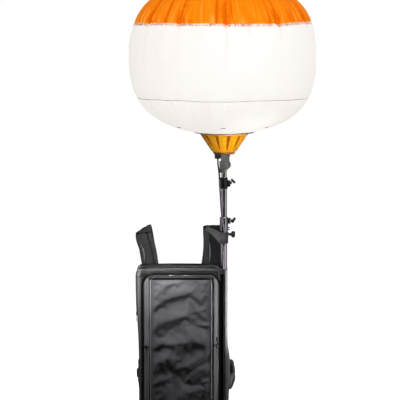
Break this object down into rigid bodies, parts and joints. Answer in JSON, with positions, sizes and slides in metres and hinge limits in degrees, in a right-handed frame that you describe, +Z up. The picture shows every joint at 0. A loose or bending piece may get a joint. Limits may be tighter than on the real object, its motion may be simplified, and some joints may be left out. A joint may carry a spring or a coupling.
{
  "type": "backpack advertising balloon",
  "caption": "Lit fabric balloon with a blower under it, on a telescopic mast that stands in the side sleeve of a backpack and tilts at its top.",
  "frame": {"origin": "on the mast's axis at floor level, under the middle of the balloon", "axes": "+Z up the mast, -Y towards the front pocket, +Y towards the wearer, +X away from the bag"},
  "size_m": [0.8, 0.8, 1.8685],
  "materials": {
    "orange_fabric": "coated ripstop, slightly glossy",
    "white_fabric": "translucent coated ripstop",
    "lamp": "frosted",
    "steel": "satin",
    "grey_casting": "painted dark grey",
    "amber_plastic": "glossy",
    "black_plastic": "moulded, satin",
    "bright_tube": "polished",
    "cable_sheath": "smooth sheath",
    "rubber": "matt",
    "bag_cloth": "coated nylon",
    "bag_trim": "corded piping",
    "padding": "foam-padded nylon",
    "webbing": "woven webbing",
    "battery_case": "plain"
  },
  "bodies": {
    "root": {"mast_tube_lower": "bright_tube", "lower_clamp": "black_plastic", "lower_clamp_knob": "black_plastic", "pole_bracket": "grey_casting", "pole_bracket_knob": "black_plastic", "mast_foot": "rubber", "power_cable_lower": "cable_sheath", "mast_sleeve": "bag_cloth", "pole_strap": "webbing", "bag_body": "bag_cloth", "bag_top_panel": "bag_cloth", "bag_base": "rubber", "battery_block": "battery_case", "front_pocket": "bag_cloth", "pocket_piping": "bag_trim", "back_pad": "padding", "shoulder_strap_left": "padding", "shoulder_strap_right": "padding", "strap_buckle_left": "black_plastic", "strap_buckle_right": "black_plastic", "strap_webbing_left": "webbing", "strap_webbing_right": "webbing", "hip_belt_left": "padding", "hip_belt_right": "padding", "hip_webbing_left": "webbing", "hip_webbing_right": "webbing", "hip_buckle_left": "black_plastic", "hip_buckle_right": "black_plastic"},
    "mast_middle": {"mast_tube_middle": "bright_tube", "upper_clamp": "black_plastic", "upper_clamp_knob": "black_plastic", "power_cable_middle": "cable_sheath"},
    "mast_top": {"mast_tube_top": "bright_tube", "tilt_fork": "grey_casting", "tilt_bolt": "steel"},
    "head": {"tilt_tongue": "grey_casting", "blower_base": "amber_plastic", "blower_cone": "amber_plastic", "inlet_shroud": "amber_plastic", "fan_motor": "black_plastic", "cable_connector": "black_plastic", "power_cable_top": "cable_sheath", "neck_flange": "grey_casting", "lamp_stem": "steel", "led_lamp": "lamp", "envelope_lower_dome": "white_fabric", "envelope_white_band": "white_fabric", "envelope_orange_cap": "orange_fabric"},
    "fan": {"fan_rotor": "black_plastic"}
  },
  "joints": [
    {"name": "mast_middle_slide", "type": "slide", "parent": "root", "child": "mast_middle", "axis": [0, 0, 1], "range_m": [-0.115, 0.53], "deforming": ["power_cable_lower"]},
    {"name": "mast_top_slide", "type": "slide", "parent": "mast_middle", "child": "mast_top", "axis": [0, 0, 1], "range_m": [-0.0125, 0.53], "deforming": ["power_cable_middle"]},
    {"name": "head_tilt", "type": "hinge", "parent": "mast_top", "child": "head", "pos_m": [0.0106, 0, 1.083], "axis": [0, 1, 0], "range_deg": [0, 90], "deforming": ["power_cable_top"]},
    {"name": "fan_spin", "type": "hinge", "parent": "head", "child": "fan", "pos_m": [0, 0, 1.1975], "axis": [0, 0, 1], "continuous": true}
  ]
}
